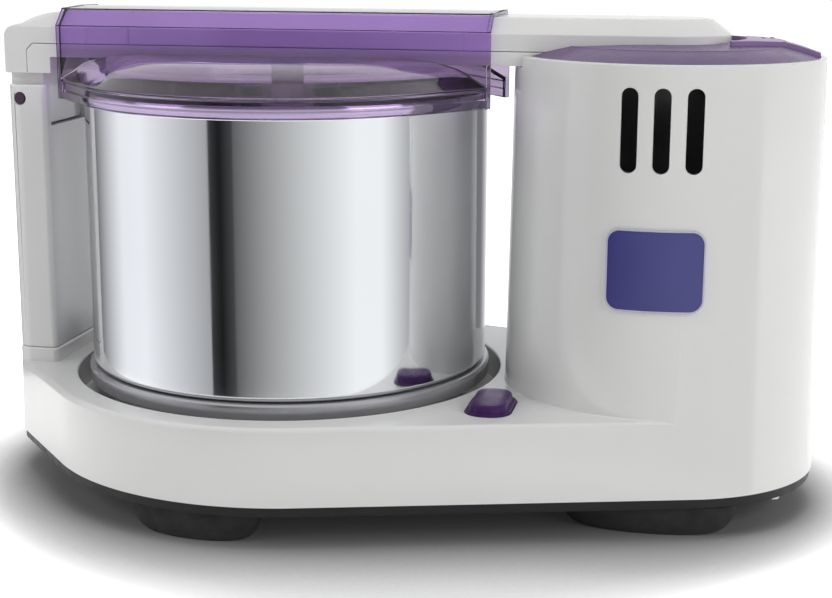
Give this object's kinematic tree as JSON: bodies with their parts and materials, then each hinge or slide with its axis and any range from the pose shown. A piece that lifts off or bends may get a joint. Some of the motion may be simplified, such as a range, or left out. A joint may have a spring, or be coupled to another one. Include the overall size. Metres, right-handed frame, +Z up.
{
  "type": "table-top wet grinder",
  "caption": "Table-top wet grinder: steel drum with stones under a hinged arm and clear lid, driven by belt from a motor in an oval tower.",
  "frame": {"origin": "on the table, under the middle of the box round the whole part", "axes": "+X from the arm's post towards the motor tower, +Y from the front to the back, +Z up"},
  "size_m": [0.45, 0.2738, 0.2635],
  "materials": {
    "white_plastic": "glossy injection-moulded, white",
    "purple_plastic": "satin gloss, purple",
    "dark_purple_plastic": "satin gloss, dark purple",
    "clear_purple": "transparent tinted, polished",
    "badge_blue": "glossy blue, bare",
    "polished_steel": "mirror polished stainless steel",
    "turned_steel": "turned, plain",
    "cast_aluminium": "die cast",
    "motor_iron": "stacked and painted, dark",
    "grey_plastic": "smooth, dark grey",
    "black_plastic": "fine grained, black",
    "black_rubber": "matt, black",
    "granite": "ground, fine grained",
    "food_plastic": "natural, food grade"
  },
  "bodies": {
    "base": {"main_housing": "white_plastic", "base_plate": "black_plastic", "foot_front_left": "black_rubber", "foot_front_right": "black_rubber", "foot_rear_left": "black_rubber", "foot_rear_right": "black_rubber", "base_screw_1": "turned_steel", "base_screw_2": "turned_steel", "base_screw_3": "turned_steel", "base_screw_4": "turned_steel", "base_screw_5": "turned_steel", "base_screw_6": "turned_steel", "badge_plate": "badge_blue", "cord_gland": "black_rubber", "arm_post": "white_plastic", "hinge_pin": "dark_purple_plastic", "bearing_hub": "cast_aluminium", "lower_bearing": "turned_steel", "upper_bearing": "turned_steel", "shaft_seal": "black_rubber", "drive_belt": "black_rubber", "motor_body": "motor_iron", "motor_bracket": "turned_steel", "run_capacitor": "black_plastic", "switch_body": "black_plastic", "tower_cap": "purple_plastic", "stone_carrier": "food_plastic", "batter_scraper": "food_plastic", "roller_axle_front": "polished_steel", "roller_axle_rear": "polished_steel"},
    "arm": {"arm_shell": "white_plastic", "arm_cover": "white_plastic"},
    "plunger": {"pressure_plunger": "food_plastic", "plunger_spring": "turned_steel"},
    "lid": {"drum_lid": "clear_purple"},
    "drum": {"drum": "polished_steel", "drum_base": "grey_plastic", "bed_stone": "granite", "drum_shaft": "turned_steel", "spindle": "turned_steel", "drive_dog": "turned_steel", "drive_pulley": "cast_aluminium"},
    "rotor": {"rotor_shaft": "turned_steel", "motor_pulley": "cast_aluminium", "cooling_fan": "black_plastic"},
    "roller_front": {"roller_stone_front": "granite"},
    "roller_rear": {"roller_stone_rear": "granite"},
    "power_button": {"power_button": "purple_plastic"},
    "release_button": {"release_button": "purple_plastic"}
  },
  "joints": [
    {"name": "arm_hinge", "type": "hinge", "parent": "base", "child": "arm", "pos_m": [-0.2152, 0, 0.2134], "axis": [0, -1, 0], "range_deg": [0, 85]},
    {"name": "lid_lift", "type": "slide", "parent": "arm", "child": "lid", "axis": [0, 0, 1], "range_m": [0, 0.06]},
    {"name": "plunger_slide", "type": "slide", "parent": "arm", "child": "plunger", "axis": [0, 0, 1], "range_m": [0, 0.004], "stiffness_N_per_m": 2000, "deforming": ["plunger_spring"]},
    {"name": "drum_spin", "type": "hinge", "parent": "base", "child": "drum", "pos_m": [-0.0695, 0, 0.069], "axis": [0, 0, 1], "continuous": true},
    {"name": "motor_spin", "type": "hinge", "parent": "base", "child": "rotor", "pos_m": [0.1402, 0, 0.058], "axis": [0, 0, 1], "continuous": true},
    {"name": "roller_front_spin", "type": "hinge", "parent": "base", "child": "roller_front", "pos_m": [-0.0695, 0, 0.0867], "axis": [0, -0.9272, 0.3746], "continuous": true},
    {"name": "roller_rear_spin", "type": "hinge", "parent": "base", "child": "roller_rear", "pos_m": [-0.0695, 0, 0.0867], "axis": [0, 0.9272, 0.3746], "continuous": true},
    {"name": "power_button_press", "type": "slide", "parent": "base", "child": "power_button", "axis": [0, 0, -1], "range_m": [0, 0.0025], "stiffness_N_per_m": 1200},
    {"name": "release_press", "type": "slide", "parent": "base", "child": "release_button", "axis": [0, 0, -1], "range_m": [0, 0.003], "stiffness_N_per_m": 1500}
  ],
  "couplings": [
    {"joint": "motor_spin", "follows": "drum_spin", "ratio": 8},
    {"joint": "roller_front_spin", "follows": "drum_spin", "ratio": 2.6695},
    {"joint": "roller_rear_spin", "follows": "drum_spin", "ratio": 2.6695}
  ]
}
